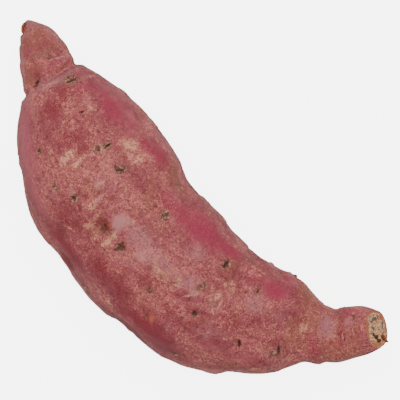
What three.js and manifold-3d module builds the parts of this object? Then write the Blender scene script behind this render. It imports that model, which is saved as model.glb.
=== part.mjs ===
import * as THREE from 'three';
import { mergeVertices } from 'three/addons/utils/BufferGeometryUtils.js';
import Module from 'manifold-3d';

// A raw sweet potato: one swollen storage root with a pointed root tail, a plump bent body,
// and a short neck that ends in the corky scar where it was broken from the vine.
// It lies on its side. Millimetres, +Z up: X runs from the tail to the scar, and Y points into
// the bend. "along" is a distance along the middle line, from the tail. "around" is an angle in
// degrees about that line: 0 faces into the bend, 90 up, 180 out of the bend and 270 down.

const wasm = await Module();
wasm.setup();

// How finely the skin is divided
const ringStep = 2.1;
const sides = 44;
const scarRings = 3;

// Driving sizes
const skinColour = 0x9f5558;
const tailRounding = 2;
const squareness = 2.12;
const scarLean = THREE.MathUtils.degToRad(36);
const scarLeanFrom = 187;
const scarDish = 0.7;
const scarLip = 0.35;

// Middle line of the root, from the tip of the tail to the middle of the scar
const middleLine = [
  [-0.9, 0.1, 14.2], [3.4, 0.2, 15.5], [10.3, -2.7, 17], [26, -10.5, 20.5], [42.5, -19, 25],
  [61, -27, 27], [81, -33, 27.5], [100, -36, 27], [119, -36, 26], [137, -32, 24.5],
  [153, -24.5, 22.5], [166, -16.5, 21], [176.3, -8.2, 21], [182.2, -1.8, 22.2],
];

// Half sizes of the section: into the bend, out of the bend, up and down
const sections = [
  { along: 0, inner: 2.7, outer: 2.6, above: 3, below: 2.6 },
  { along: 4, inner: 5.2, outer: 5.6, above: 5.2, below: 5.2 },
  { along: 8, inner: 7.8, outer: 7.3, above: 7.6, below: 7.6 },
  { along: 14, inner: 9.2, outer: 9.8, above: 9.6, below: 9.6 },
  { along: 23.5, inner: 11, outer: 12, above: 10.9, below: 11.2 },
  { along: 28, inner: 15, outer: 14, above: 15, below: 15 },
  { along: 32, inner: 18, outer: 17, above: 18, below: 17.6 },
  { along: 39, inner: 22.7, outer: 20.9, above: 21, below: 21.4 },
  { along: 47, inner: 26, outer: 24.6, above: 23.8, below: 24.4 },
  { along: 56, inner: 28.5, outer: 27.2, above: 25.8, below: 26.7 },
  { along: 64, inner: 29.7, outer: 29.8, above: 26.6, below: 27.8 },
  { along: 74, inner: 31, outer: 30.3, above: 27.2, below: 28.6 },
  { along: 86, inner: 29.8, outer: 29.2, above: 27, below: 29 },
  { along: 94, inner: 28, outer: 29.4, above: 27, below: 29 },
  { along: 106, inner: 29.1, outer: 29.7, above: 27, below: 28.7 },
  { along: 118, inner: 28.5, outer: 28.5, above: 26.6, below: 27.6 },
  { along: 130, inner: 27.4, outer: 28.6, above: 25.2, below: 25.8 },
  { along: 141, inner: 25, outer: 26.4, above: 22.6, below: 23.6 },
  { along: 151, inner: 22.4, outer: 22.4, above: 20.8, below: 20.6 },
  { along: 161, inner: 20.4, outer: 19.5, above: 18.4, below: 18 },
  { along: 166, inner: 19.4, outer: 17.2, above: 16.6, below: 16.3 },
  { along: 170, inner: 17.9, outer: 14.6, above: 14.6, below: 14.2 },
  { along: 174, inner: 15.6, outer: 12.4, above: 12.8, below: 12.6 },
  { along: 180, inner: 10.3, outer: 12.3, above: 11.1, below: 11 },
  { along: 187, inner: 9.9, outer: 11, above: 10.3, below: 10.4 },
  { along: 194, inner: 10.5, outer: 9.4, above: 9.3, below: 9.5 },
  { along: 199, inner: 9.4, outer: 8.3, above: 7.7, below: 7.6 },
  { along: 202, inner: 7.5, outer: 6.3, above: 6, below: 5.4 },
];

// Broad swellings and hollows, with how far each spreads and how much it rises
const swellings = [
  { along: 35, around: 60, spread: 7, rise: 0.6 },
  { along: 62, around: 106, spread: 13, rise: 0.9 },
  { along: 72, around: 40, spread: 10, rise: 0.7 },
  { along: 89, around: 14, spread: 6, rise: -0.4 },
  { along: 88, around: 166, spread: 3.5, rise: -2.3 },
  { along: 92, around: 84, spread: 9, rise: 0.8 },
  { along: 85, around: 107, spread: 4, rise: -1.1 },
  { along: 87, around: 97, spread: 4, rise: 0.7 },
  { along: 108, around: 95, spread: 13, rise: 0.8 },
  { along: 118.5, around: 165, spread: 4.5, rise: -1.5 },
  { along: 126, around: 130, spread: 8, rise: 0.7 },
  { along: 133, around: 92, spread: 6, rise: -0.5 },
  { along: 141, around: 100, spread: 8, rise: 0.8 },
  { along: 148, around: 10, spread: 1.8, rise: -1.4 },
  { along: 153, around: 12, spread: 3, rise: 1 },
  { along: 160.2, around: 14, spread: 1.7, rise: -0.7 },
  { along: 163.4, around: 12, spread: 1.9, rise: 0.9 },
  { along: 166.4, around: 12, spread: 1.2, rise: -0.4 },
  { along: 146, around: 168, spread: 4, rise: 1.2 },
  { along: 159, around: 150, spread: 6, rise: 0.8 },
  { along: 171, around: 100, spread: 5, rise: -0.6 },
  { along: 191, around: 40, spread: 6, rise: 0.6 },
  { along: 195, around: 90, spread: 5, rise: 0.5 },
  { along: 52, around: 235, spread: 11, rise: 0.9 },
  { along: 74, around: 322, spread: 10, rise: -0.9 },
  { along: 87, around: 272, spread: 9, rise: 0.8 },
  { along: 99, around: 215, spread: 9, rise: -0.8 },
  { along: 121, around: 318, spread: 11, rise: 0.9 },
  { along: 146, around: 250, spread: 8, rise: -0.8 },
];

// Rootlet scars: short slits that mostly run round the root, each in a small dimple
const eyes = [
  { along: 24, around: 125, length: 6, depth: 1.1 },
  { along: 28.7, around: 67, length: 6, depth: 1 },
  { along: 42, around: 77, length: 4, depth: 1 },
  { along: 37, around: 127, length: 3, depth: 0.8 },
  { along: 59, around: 71, length: 4, depth: 1 },
  { along: 70, around: 73, length: 6, depth: 1.1 },
  { along: 71, around: 112, length: 4, depth: 0.9 },
  { along: 85.8, around: 108, length: 6, depth: 1.5 },
  { along: 95.6, around: 106, length: 5, depth: 1.1 },
  { along: 96, around: 62, length: 4, depth: 1 },
  { along: 119, around: 130, length: 5, depth: 1 },
  { along: 131.4, around: 56, length: 5, depth: 1.2 },
  { along: 132, around: 105, length: 4, depth: 1.4 },
  { along: 151, around: 59, length: 4, depth: 1 },
  { along: 151, around: 118, length: 5, depth: 1.3 },
  { along: 164.5, around: 122, length: 5, depth: 1.2 },
  { along: 189.3, around: 97, length: 4, depth: 0.9 },
  { along: 48, around: 290, length: 5, depth: 1.1 },
  { along: 66, around: 200, length: 5, depth: 1.1 },
  { along: 88, around: 330, length: 5, depth: 1.2 },
  { along: 104, around: 202, length: 4, depth: 1.1 },
  { along: 118, around: 345, length: 5, depth: 1 },
  { along: 141, around: 208, length: 5, depth: 1.2 },
  { along: 157, around: 300, length: 5, depth: 1.1 },
  { along: 172, around: 235, length: 4, depth: 0.9 },
];
const eyeWidth = 1.7;

// Folds that run all the way round: where the shoulder swells over the tail, and softer ones
const folds = [
  { along: 24.7, slant: 2.1, width: 1.4, depth: 1.2 },
  { along: 12, slant: 0.8, width: 1.8, depth: 0.35 },
  { along: 86, slant: -3, width: 5, depth: 0.5 },
  { along: 174, slant: 1, width: 2.6, depth: 0.4 },
  { along: 184, slant: -1, width: 2, depth: 0.45 },
];
const foldLip = 0.25;

// Long soft waves of the skin: length of a wave along the root, waves round it, start and height
const waves = [
  { length: 75, round: 2, start: 0, height: 0.35 },
  { length: 50, round: -3, start: 1, height: 0.3 },
  { length: 31, round: 5, start: 2, height: 0.2 },
];
const wavesFullRadius = 25;

// What is left of side rootlets: the hooked end of the tail, and two nubs that stand out of the skin
const stubs = [
  {
    path: [[1, 1.7, 16], [-0.6, 1.6, 16.1], [-1.4, 1, 16.1], [-1.65, 0, 16], [-1.25, -0.9, 15.8],
      [-0.5, -1.4, 15.5], [0.6, -1.3, 15.2]],
    thick: 1,
    thin: 0.75,
  },
  { path: [[139.3, -11, 22.6], [141.5, -8.4, 23.1], [143.8, -6.8, 23.3]], thick: 1.2, thin: 0.8 },
  { path: [[184, -2.6, 19.5], [186.3, -2.9, 18.7], [188.3, -3.1, 18]], thick: 1.2, thin: 0.5 },
];
const stubSteps = 10;
const stubSides = 10;

const turn = Math.PI * 2;
const radians = THREE.MathUtils.degToRad;
const spine = new THREE.CatmullRomCurve3(
  middleLine.map((point) => new THREE.Vector3(...point)), false, 'centripetal');
spine.arcLengthDivisions = 1200;
const spineLength = spine.getLength();

// Reads a size of the section at a distance along the root, with a smooth curve through them all
function sizeAt(key, along) {
  let i = 0;
  while (i < sections.length - 2 && sections[i + 1].along < along) i += 1;
  const [before, from, to, after] = [i - 1, i, i + 1, i + 2].map(
    (n) => sections[Math.min(sections.length - 1, Math.max(0, n))]);
  const span = to.along - from.along;
  const share = THREE.MathUtils.clamp((along - from.along) / span, 0, 1);
  const slopeFrom = (to[key] - before[key]) / (to.along - before.along) * span;
  const slopeTo = (after[key] - from[key]) / (after.along - from.along) * span;
  const s2 = share * share;
  const s3 = s2 * share;
  return (2 * s3 - 3 * s2 + 1) * from[key] + (s3 - 2 * s2 + share) * slopeFrom
    + (3 * s2 - 2 * s3) * to[key] + (s3 - s2) * slopeTo;
}

function bell(distance, width) {
  return Math.exp(-((distance / width) ** 2));
}

// The shortest way round from one angle to another, in radians
function angleBetween(a, b) {
  return Math.atan2(Math.sin(a - b), Math.cos(a - b));
}

// How far the skin stands out of the plain section, in millimetres
function relief(along, angle, radius) {
  let height = 0;
  for (const swelling of swellings) {
    const away = Math.hypot(along - swelling.along,
      angleBetween(angle, radians(swelling.around)) * radius);
    height += swelling.rise * bell(away, swelling.spread);
  }
  for (const eye of eyes) {
    const across = angleBetween(angle, radians(eye.around)) * radius;
    const dimple = bell(along - eye.along, eyeWidth) * bell(across, eye.length / 2);
    height -= eye.depth * dimple;
  }
  for (const fold of folds) {
    const offset = along - fold.along + fold.slant * Math.cos(angle);
    height -= fold.depth
      * (bell(offset, fold.width) - foldLip * bell(offset - 2.2 * fold.width, fold.width));
  }
  for (const wave of waves) {
    const phase = turn * along / wave.length + wave.round * angle + wave.start;
    height += wave.height * Math.sin(phase) * Math.min(1, radius / wavesFullRadius);
  }
  return height;
}

// A point of the skin. The rings stand upright, but near the scar they lean back, so that the
// scar faces partly upward
function skinPoint(along, angle) {
  const share = Math.min(1, along / spineLength);
  const centre = spine.getPointAt(share);
  const forward = spine.getTangentAt(share).setZ(0).normalize();
  const inward = new THREE.Vector3(-forward.y, forward.x, 0);
  const upward = new THREE.Vector3(0, 0, 1);
  const cosine = Math.cos(angle);
  const sine = Math.sin(angle);
  const fullness = (Math.abs(cosine) ** squareness + Math.abs(sine) ** squareness) ** (-1 / squareness);
  const sideways = sizeAt(cosine > 0 ? 'inner' : 'outer', along);
  const upright = sizeAt(sine > 0 ? 'above' : 'below', along);
  const radius = (sideways + upright) / 2;
  const toTip = 1 - Math.min(1, along / tailRounding);
  const rounding = Math.sqrt(Math.max(0, 1 - toTip * toTip));
  const growth = (fullness + relief(along, angle, radius) / radius) * rounding;
  const across = sideways * cosine * growth;
  const high = upright * sine * growth;
  const lean = scarLean * THREE.MathUtils.smoothstep(along, scarLeanFrom, spineLength);
  return centre.addScaledVector(inward, across).addScaledVector(upward, high)
    .addScaledVector(forward, -high * Math.tan(lean));
}

// The scar is a shallow dish inside a low lip, on the leaning plane of the last ring
function scarPoint(rim, middle, share, outward) {
  const dished = scarLip * Math.sin(Math.PI * share) - scarDish * (1 - share ** 2);
  return middle.clone().lerp(rim, share).addScaledVector(outward, dished);
}

// Closes a stack of rings with a point at each end
function closedStack(first, rings, last) {
  const positions = [first, ...rings.flat(), last].flatMap((point) => [point.x, point.y, point.z]);
  const count = rings[0].length;
  const at = (ring, side) => 1 + ring * count + side % count;
  const end = 1 + rings.length * count;
  const faces = [];
  for (let side = 0; side < count; side += 1) {
    faces.push(0, at(0, side + 1), at(0, side));
    for (let ring = 0; ring < rings.length - 1; ring += 1) {
      const [a, b] = [at(ring, side), at(ring, side + 1)];
      const [c, d] = [at(ring + 1, side + 1), at(ring + 1, side)];
      faces.push(a, b, c, a, c, d);
    }
    faces.push(at(rings.length - 1, side), at(rings.length - 1, side + 1), end);
  }
  const geometry = new THREE.BufferGeometry();
  geometry.setAttribute('position', new THREE.Float32BufferAttribute(positions, 3));
  geometry.setIndex(faces);
  return geometry;
}

function ringOf(pointAt) {
  return Array.from({ length: sides }, (_, side) => pointAt(side / sides * turn));
}

// Body: rings close together where the tail rounds over, then evenly to the scar, then into it
function bodyGeometry() {
  const tailRings = [0.08, 0.3, 0.7, 1.4];
  const count = Math.round((spineLength - tailRounding) / ringStep);
  const evenly = Array.from({ length: count + 1 },
    (_, i) => tailRounding + (spineLength - tailRounding) * i / count);
  const rings = [...tailRings, ...evenly].map((along) => ringOf((angle) => skinPoint(along, angle)));
  const rim = rings[rings.length - 1];
  const middle = rim.reduce((sum, point) => sum.add(point), new THREE.Vector3()).divideScalar(sides);
  const quarter = Math.round(sides / 4);
  const outward = new THREE.Vector3().crossVectors(
    rim[0].clone().sub(middle), rim[quarter].clone().sub(middle)).normalize();
  for (let i = scarRings; i > 0; i -= 1) {
    rings.push(rim.map((point) => scarPoint(point, middle, i / (scarRings + 1), outward)));
  }
  return closedStack(spine.getPointAt(0), rings, scarPoint(middle, middle, 0, outward));
}

// A stub: a short bent taper from a foot well inside the skin, with a rounded tip
function stubGeometry({ path, thick, thin }) {
  const curve = new THREE.CatmullRomCurve3(path.map((point) => new THREE.Vector3(...point)));
  const rings = [];
  for (let i = 0; i <= stubSteps; i += 1) {
    const share = i / stubSteps;
    const centre = curve.getPointAt(share);
    const forward = curve.getTangentAt(share);
    const sideways = new THREE.Vector3(-forward.y, forward.x, 0.01).normalize();
    const upward = new THREE.Vector3().crossVectors(forward, sideways);
    const endRounding = Math.sqrt(Math.min(1, (1 - share) * 3 + 0.15));
    const radius = THREE.MathUtils.lerp(thick, thin, share) * endRounding;
    rings.push(Array.from({ length: stubSides }, (_, n) => {
      const angle = n / stubSides * turn;
      return centre.clone().addScaledVector(sideways, radius * Math.cos(angle))
        .addScaledVector(upward, radius * Math.sin(angle));
    }));
  }
  const tip = curve.getPointAt(1).addScaledVector(curve.getTangentAt(1), thin * 0.35);
  return closedStack(curve.getPointAt(0), rings, tip);
}

function toSolid(geometry) {
  geometry.deleteAttribute('normal');
  geometry.deleteAttribute('uv');
  const merged = mergeVertices(geometry, 1e-5);
  return new wasm.Manifold(new wasm.Mesh({
    numProp: 3,
    vertProperties: new Float32Array(merged.attributes.position.array),
    triVerts: new Uint32Array(merged.index.array),
  }));
}

function toGeometry(solid) {
  const mesh = solid.getMesh();
  const geometry = new THREE.BufferGeometry();
  geometry.setAttribute('position', new THREE.BufferAttribute(mesh.vertProperties, 3));
  geometry.setIndex(new THREE.BufferAttribute(mesh.triVerts, 1));
  return geometry;
}

// The underside is pressed flat where the root rests: all that is below the table is taken off
function restingBlock() {
  const deep = 20;
  const block = new THREE.BoxGeometry(400, 300, deep);
  block.translate(90, -20, -deep / 2);
  return block;
}

function sweetPotato() {
  let solid = toSolid(bodyGeometry());
  for (const stub of stubs) solid = solid.add(toSolid(stubGeometry(stub)));
  solid = solid.subtract(toSolid(restingBlock()));
  const geometry = toGeometry(solid);
  geometry.computeBoundingBox();
  const middle = geometry.boundingBox.getCenter(new THREE.Vector3());
  geometry.translate(-middle.x, -middle.y, 0);
  geometry.computeVertexNormals();
  const skin = new THREE.MeshStandardMaterial({ color: skinColour, roughness: 0.7, metalness: 0 });
  const mesh = new THREE.Mesh(geometry, skin);
  mesh.name = 'sweet_potato';
  return mesh;
}

const part = new THREE.Group();
part.add(sweetPotato());

export default part;
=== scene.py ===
import bpy
import math
import random
import numpy as np
from mathutils import Matrix, Vector, geometry, noise


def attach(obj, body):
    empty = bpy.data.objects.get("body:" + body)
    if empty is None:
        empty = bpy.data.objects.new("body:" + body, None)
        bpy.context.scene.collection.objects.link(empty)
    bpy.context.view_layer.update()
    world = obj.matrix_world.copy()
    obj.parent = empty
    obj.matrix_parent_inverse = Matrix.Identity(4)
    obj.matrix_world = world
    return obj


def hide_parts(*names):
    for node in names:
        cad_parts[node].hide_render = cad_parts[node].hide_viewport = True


# A raw sweet potato, lying on its side and seen from above.
# Pieces are modelled in millimetres and brought to metres at the end. "along" is the way down the
# middle line from the tail, and "around" is degrees about it: 0 into the bend, 90 up, 180 out of it.

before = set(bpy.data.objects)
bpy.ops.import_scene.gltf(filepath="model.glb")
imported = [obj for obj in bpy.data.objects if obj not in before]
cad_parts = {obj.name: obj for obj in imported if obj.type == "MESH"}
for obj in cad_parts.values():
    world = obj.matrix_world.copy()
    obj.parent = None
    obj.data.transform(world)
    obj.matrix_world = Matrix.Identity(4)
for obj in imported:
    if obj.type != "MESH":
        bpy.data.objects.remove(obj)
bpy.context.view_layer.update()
mm = 0.001


def hexToLinear(code):
    values = [int(code[i:i + 2], 16) / 255 for i in (1, 3, 5)]
    return [v / 12.92 if v <= 0.04045 else ((v + 0.055) / 1.055) ** 2.4 for v in values] + [1.0]


def addNode(material, kind, settings=None, links=None):
    # A link may name a socket, or a node whose first output is meant
    node = material.node_tree.nodes.new(kind)
    for name, value in (settings or {}).items():
        if isinstance(name, str) and hasattr(node, name):
            setattr(node, name, value)
        else:
            node.inputs[name].default_value = value
    for name, source in (links or {}).items():
        socket = source.outputs[0] if hasattr(source, "outputs") else source
        material.node_tree.links.new(socket, node.inputs[name])
    return node


def newMaterial(name):
    material = bpy.data.materials.new(name)
    material.use_nodes = True
    material.node_tree.nodes.clear()
    return material


def deselectAll():
    if bpy.context.object and bpy.context.object.mode != "OBJECT":
        bpy.ops.object.mode_set(mode="OBJECT")
    bpy.ops.object.select_all(action="DESELECT")


# The root's own form

rootForm = {
    "sides": 28,
    "ringStep": 4.3,
    "smoothing": 3,
    "middleLine": [  # tip of the tail to the middle of the scar
        (-0.9, 0.1, 14.2), (3.4, 0.2, 15.5), (10.3, -2.7, 17), (26, -10.5, 20.5), (42.5, -19, 25),
        (61, -27, 27), (81, -33, 27.5), (100, -36, 27), (119, -36, 26), (137, -32, 24.5),
        (153, -24.5, 22.5), (166, -16.5, 21), (176.3, -8.2, 21), (182.2, -1.8, 22.2)],
    "sections": [  # along, then half sizes: into the bend, out of it, up and down
        (0, 1.5, 3.5, 2.6, 3), (2, 3.1, 4.5, 4, 4.2), (4, 5.2, 5.3, 5.2, 5.3), (8, 7.9, 7.4, 7.6, 7.6),
        (14, 9.7, 10.2, 9.6, 9.6), (23.5, 10.8, 12.2, 10.9, 11.2), (28, 15.1, 14, 15, 15),
        (32, 18, 17, 18, 17.6), (39, 23, 20.8, 21, 21.4), (47, 26, 24.8, 23.8, 24.4),
        (56, 28.9, 26.8, 25.8, 26.7), (64, 29.8, 30.2, 26.6, 27.8), (74, 31.5, 30.5, 27.2, 28.6),
        (86, 30.2, 29, 27, 29), (94, 28, 29.5, 27, 29), (106, 29.6, 30, 27, 28.7),
        (118, 29.4, 28.2, 26.6, 27.6), (130, 27.7, 28.9, 25.2, 25.8), (141, 25.8, 26.2, 22.6, 23.6),
        (151, 22.9, 22.6, 20.8, 20.6), (161, 21.1, 19.8, 18.4, 18), (166, 20, 17.7, 16.6, 16.3),
        (170, 18.4, 15.5, 14.6, 14.2), (174, 17.1, 12.6, 12.8, 12.6), (180, 10.4, 12.5, 11.1, 11),
        (187, 10.2, 11.4, 10.3, 10.4), (194, 10.9, 9.5, 9.3, 9.5), (199, 10, 8.8, 7.7, 7.6),
        (202, 8.3, 7.1, 6.3, 5.6)],
    "tailRings": [0.03, 0.15, 0.45, 0.9],
    "tailRounding": 1.2,
    "squareness": 0.02,       # how much fuller the section is between its four sides
    "scarCrease": 0.55,
    "scarInset": 1.4,
    "scarLean": 36,           # degrees that the scar faces up
    "scarLeanFrom": 187,
    "boxMiddle": (92.97, -29.56),
}

# Broad swellings and hollows: along, around, spread, rise
swellings = [
    (35, 60, 7, 0.6), (62, 106, 13, 0.9), (72, 40, 10, 0.7), (89, 14, 6, -0.4), (88, 166, 3.5, -2.3),
    (92, 84, 9, 0.8), (85, 107, 4, -1.1), (87, 97, 4, 0.7), (108, 95, 13, 0.8), (118.5, 165, 4.5, -1.7),
    (126, 130, 8, 0.7), (133, 92, 6, -0.5), (141, 100, 8, 0.8), (148, 10, 2, -1.8), (153, 12, 2.8, 1.3),
    (160.2, 14, 1.7, -0.7), (163.4, 12, 1.9, 0.9), (166.4, 12, 1.2, -0.4), (146, 168, 4, 1.2),
    (159, 150, 6, 0.8), (171, 100, 5, -0.6), (191, 40, 6, 0.6), (195, 90, 5, 0.5), (86, 107, 2.4, -0.7),
    (82.5, 112, 1.8, 0.5), (88, 90, 2.4, 0.7), (87, 101, 1.5, 0.5), (90, 107, 1.8, 0.5),
    (95.6, 105, 2.2, -0.8), (65, 86, 2, -0.5), (68, 99, 2, -0.6), (71, 93, 1.8, 0.5),
    (73, 106, 2, -0.6), (76, 98, 1.8, 0.5), (79, 88, 2.2, -0.6), (69, 111, 2, 0.5), (70, 73, 2.2, -0.6),
    (103, 97, 3, 0.6), (108, 99, 2.4, -0.7), (114, 98, 2.2, -0.6), (119, 95, 2, -0.5),
    (127, 90, 2.6, 0.6), (135.2, 91, 2.4, 0.6), (52, 235, 11, 0.9), (74, 322, 10, -0.9),
    (87, 272, 9, 0.8), (99, 215, 9, -0.8), (121, 318, 11, 0.9), (146, 250, 8, -0.8)]

randomDimples = {"seed": 5, "count": 170, "spread": (1.3, 4), "rise": (-0.5, 0.3)}

# Long soft waves: length along, waves round, start, height
waves = [(75, 2, 0, 0.35), (50, -3, 1, 0.3), (31, 5, 2, 0.2)]

# Grain of the skin that is felt by hand: size, height
lumps = [(13, 0.3), (5.2, 0.16), (2.3, 0.07)]

# Folds right round the root: along, slant, width, depth
folds = [(24.7, 2.1, 1.2, 1.1), (12, 0.8, 1.8, 0.3), (86, -3, 5, 0.5), (174, 1, 2.6, 0.4),
         (184, -1, 2, 0.45)]

# Thin lines in the skin: along, around, half sweep in degrees, slant, width, depth
skinLines = [
    (26.4, 110, 48, 2.4, 0.5, 0.3), (27.9, 112, 40, 2.7, 0.5, 0.28), (29.3, 106, 34, 2.9, 0.45, 0.22),
    (22.6, 80, 60, 2.1, 0.45, 0.2), (18.4, 58, 46, 3.6, 0.5, 0.3), (20.4, 40, 30, 3, 0.4, 0.2),
    (10.5, 80, 60, 1, 0.4, 0.16), (7.4, 95, 55, 0.8, 0.4, 0.14), (178, 90, 50, 0.6, 0.45, 0.2),
    (181, 78, 40, 0.5, 0.4, 0.18), (183.5, 80, 35, 0.4, 0.4, 0.16), (171, 100, 40, 1, 0.45, 0.2),
    (186.4, 92, 50, 0.4, 0.5, 0.32), (173.6, 105, 40, 0.8, 0.45, 0.25), (5, 90, 60, 0.5, 0.4, 0.16),
    (13, 100, 40, 1, 0.4, 0.2), (16, 60, 40, 1.4, 0.4, 0.2)]
randomLines = {"seed": 12, "count": 90, "sweep": (7, 30), "width": (0.35, 0.55), "depth": (0.05, 0.16)}

# Section of an eye: mm past its slit, and shares of its depth
eyeForm = {"dimpleWider": 1.5, "dimpleLonger": 0.8, "lipAway": 0.6, "lipWidth": 0.45, "lipRise": 0.35,
           "dimpleDrop": 0.55, "slitDrop": 0.75, "rustAway": 0.4, "rustWidth": 1.1}

# Eyes, where rootlets came out:
# along, around, length, width, depth, turn from the ring, bow, dark, halo, rust
eyes = [
    (24.1, 125, 5.6, 0.65, 0.9, 28, 0, 1, 0.3, 0), (28.7, 67, 5.6, 0.7, 0.7, -2, 0, 0.7, 0.7, 0),
    (42.1, 77, 2.6, 0.55, 0.8, 0, 0, 1, 0.2, 0), (37.2, 127, 1.8, 0.4, 0.5, 60, 0, 0.7, 0.4, 0),
    (16.9, 74, 3.6, 0.4, 0.5, -24, 0, 0.8, 0.3, 0), (13.8, 80, 4, 1.2, 0.2, -20, 0, 0, 0.25, 0),
    (14, 116, 2, 0.9, 0.3, 30, 0, 0.1, 0.25, 0), (59, 71, 2.8, 0.65, 0.9, 2, 0, 1, 0.6, 0),
    (49.8, 128, 1.5, 0.5, 0.6, 0, 0, 0.8, 0.5, 0), (58.5, 80, 2.4, 0.8, 0.4, 20, 0, 0.2, 0.6, 0),
    (70.1, 73, 5.2, 0.6, 0.8, -36, 0.9, 0.8, 0.6, 0.2),
    (60.1, 104, 1.8, 0.8, 0.5, 10, 0, 0.4, 0.2, 0.5), (63.5, 121, 1.6, 0.7, 0.3, 0, 0, 0.2, 0.5, 0),
    (71.2, 112, 2.6, 0.75, 0.6, 54, 0, 0.8, 0.6, 0), (85.8, 108, 4.4, 1.1, 1.1, 50, 0, 0.75, 0.4, 0.4),
    (87.7, 83, 2.6, 1.1, 0.6, 40, 0, 0.35, 0.35, 0.6), (95.6, 106, 4.6, 1.5, 0.8, 20, 0, 0.7, 0.5, 0.2),
    (92.5, 118, 1.8, 0.6, 0.6, 52, 0, 0.8, 0.2, 0.2), (89.5, 107, 3, 0.6, 0.6, 0, 0, 0.5, 0.25, 0),
    (96.1, 62, 3.2, 0.8, 0.8, 21, 0, 0.6, 0.9, 0), (131.4, 56, 4.4, 0.75, 0.9, 0, 0, 0.9, 0.5, 0.2),
    (114.7, 113, 2, 0.7, 0.4, 0, 0, 0.35, 0.5, 0), (132, 105, 1.9, 1, 1.3, 0, 0, 1, 0.4, 0.2),
    (119.2, 130, 3.6, 1, 0.9, 10, 0, 0.5, 0.1, 0.8), (128.5, 84, 4, 0.9, 0.4, -41, 0, 0.15, 0.5, 0.4),
    (150.9, 118, 3.8, 0.6, 1, 14, 0, 1, 0.3, 0.1), (150.9, 59, 3.2, 0.7, 0.8, -18, 0, 0.7, 0.4, 0.3),
    (165.2, 122, 5, 0.6, 1, 12, 0, 0.9, 0.3, 0.3), (162.6, 124, 3.4, 0.5, 0.5, 30, 0, 0.4, 0.5, 0),
    (184.6, 111, 2, 0.7, 0.5, 20, 0, 0.4, 0.2, 0.6), (189.3, 96, 6, 0.55, 0.6, 0, 0, 0.5, 0.1, 0.2),
    (196.9, 56, 2.4, 0.7, 0.5, 10, 0, 0.6, 0.4, 0.4),
    (195.2, 100, 2.4, 0.45, 0.4, 80, 0, 0.6, 0.1, 0.2), (195.9, 129, 2, 0.6, 0.4, 0, 0, 0.5, 0.1, 0.4),
    (159.8, 19, 3, 0.6, 0.7, 70, 0, 0.7, 0.6, 0), (90.5, 32, 2.4, 0.5, 0.4, -30, 0, 0.2, 0.4, 0),
    (99.4, 164, 2.8, 0.9, 0.5, 40, 0, 0.5, 0.6, 0), (134.9, 153, 3, 0.6, 0.5, 50, 0, 0.6, 0.5, 0),
    (48, 290, 4.6, 0.7, 0.9, 8, 0, 0.9, 0.5, 0.1), (66, 200, 4.6, 0.7, 0.9, -10, 0, 0.8, 0.6, 0.2),
    (88, 330, 4.8, 0.8, 1, 12, 0, 0.9, 0.5, 0.1), (104, 202, 4, 0.7, 0.9, 0, 0, 0.9, 0.5, 0.3),
    (118, 345, 4.6, 0.7, 0.8, -14, 0, 0.8, 0.6, 0), (141, 208, 4.6, 0.8, 1, 10, 0, 0.9, 0.4, 0.2),
    (157, 300, 4.6, 0.7, 0.9, -8, 0, 0.9, 0.5, 0), (172, 235, 4, 0.6, 0.7, 0, 0, 0.8, 0.4, 0.2),
    (78, 258, 3, 0.7, 0.6, 30, 0, 0.6, 0.6, 0), (112, 262, 2.6, 0.6, 0.6, 0, 0, 0.7, 0.5, 0.2),
    (34, 220, 3, 0.6, 0.7, 20, 0, 0.8, 0.4, 0), (186, 320, 3, 0.5, 0.5, 0, 0, 0.6, 0.3, 0.4)]

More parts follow.
